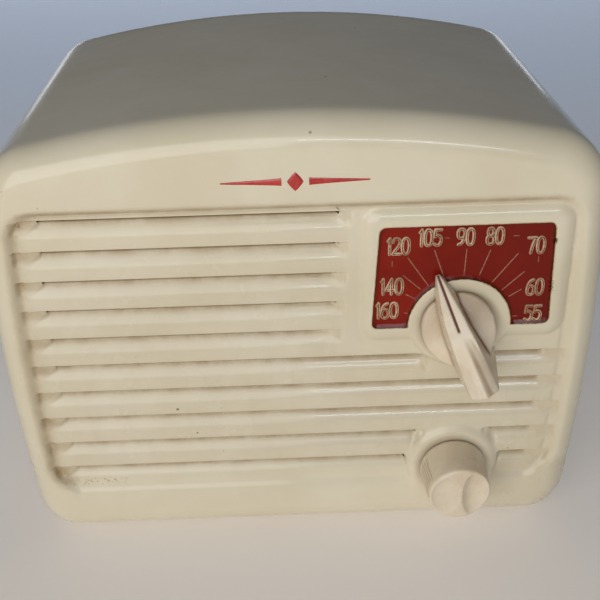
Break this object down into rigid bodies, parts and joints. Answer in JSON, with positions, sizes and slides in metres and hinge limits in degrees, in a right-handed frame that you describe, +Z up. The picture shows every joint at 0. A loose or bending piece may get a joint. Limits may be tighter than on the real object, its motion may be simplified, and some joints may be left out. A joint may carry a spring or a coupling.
{
  "type": "tabletop radio",
  "caption": "Small tabletop tube radio: pressed-steel cabinet with horizontal louvres, a red dial, a pointer tuning knob and a round volume knob.",
  "frame": {"origin": "on the table, under the middle of the whole radio, knobs included", "axes": "+Z up, -Y out of the louvred front, +X to the right of a person who faces the front"},
  "size_m": [0.173, 0.142, 0.1375],
  "materials": {
    "cream_enamel": "baked cream enamel, glossy, with a red painted dial field",
    "ivory_knob": "moulded ivory plastic, slightly yellowed",
    "black_rubber": "black rubber",
    "fibreboard": "brown pressed fibreboard",
    "grille_cloth": "woven cloth",
    "plated_steel": "cadmium-plated steel",
    "aluminium": "bare aluminium",
    "steel_shaft": "turned steel",
    "tube_glass": "clear glass",
    "brown_phenolic": "phenolic",
    "grey_paint": "grey paint on steel",
    "cone_paper": "dark pressed paper",
    "copper_wire": "enamelled copper wire",
    "lamination_steel": "varnished laminations",
    "waxed_paper": "waxed paper tube",
    "soft_rubber": "soft rubber"
  },
  "bodies": {
    "root": {"cabinet": "cream_enamel", "chassis": "plated_steel", "chassis_screws": "plated_steel", "cord_gland": "black_rubber", "filter_capacitor": "waxed_paper", "filter_capacitor_clamp": "plated_steel", "foot_rivets": "plated_steel", "grille_cloth": "grille_cloth", "if_transformer_input": "aluminium", "if_transformer_output": "aluminium", "loop_antenna": "copper_wire", "oscillator_coil": "brown_phenolic", "output_transformer_coil": "copper_wire", "output_transformer_core": "lamination_steel", "output_transformer_strap": "plated_steel", "paper_capacitors": "waxed_paper", "power_switch": "brown_phenolic", "rear_cover": "fibreboard", "rear_cover_screws": "plated_steel", "resistors": "waxed_paper", "rubber_feet": "black_rubber", "speaker_baffle": "fibreboard", "speaker_basket": "grey_paint", "speaker_gasket": "fibreboard", "speaker_leads": "copper_wire", "speaker_magnet": "plated_steel", "speaker_screws": "plated_steel", "speaker_spider": "cone_paper", "speaker_surround": "cone_paper", "terminal_strips": "brown_phenolic", "tube_converter": "tube_glass", "tube_detector": "tube_glass", "tube_output": "tube_glass", "tube_rectifier": "tube_glass", "tube_socket_converter": "brown_phenolic", "tube_socket_detector": "brown_phenolic", "tube_socket_output": "brown_phenolic", "tube_socket_rectifier": "brown_phenolic", "tuning_capacitor_feet": "soft_rubber", "tuning_capacitor_frame": "plated_steel", "tuning_capacitor_insulators": "brown_phenolic", "tuning_capacitor_screws": "plated_steel", "tuning_capacitor_stators": "aluminium", "tuning_capacitor_trimmers": "brown_phenolic", "volume_control_body": "plated_steel", "volume_control_nut": "plated_steel"},
    "tuner": {"tuning_knob": "ivory_knob", "tuning_knob_spring": "plated_steel", "tuning_capacitor_rotor": "aluminium"},
    "volume": {"volume_knob": "ivory_knob", "volume_knob_spring": "plated_steel", "volume_control_shaft": "steel_shaft"},
    "cone": {"speaker_cone": "cone_paper", "voice_coil": "copper_wire", "dust_cap": "cone_paper"}
  },
  "joints": [
    {"name": "tuning", "type": "hinge", "parent": "root", "child": "tuner", "pos_m": [0.0446, 0, 0.0763], "axis": [0, 1, 0], "range_deg": [-68.5, 111.5]},
    {"name": "volume", "type": "hinge", "parent": "root", "child": "volume", "pos_m": [0.0463, 0, 0.0247], "axis": [0, 1, 0], "range_deg": [-150, 150]},
    {"name": "cone_travel", "type": "slide", "parent": "root", "child": "cone", "axis": [0, 1, 0], "range_m": [-0.0008, 0.0008], "stiffness_N_per_m": 1500, "deforming": ["speaker_surround", "speaker_spider"]}
  ]
}
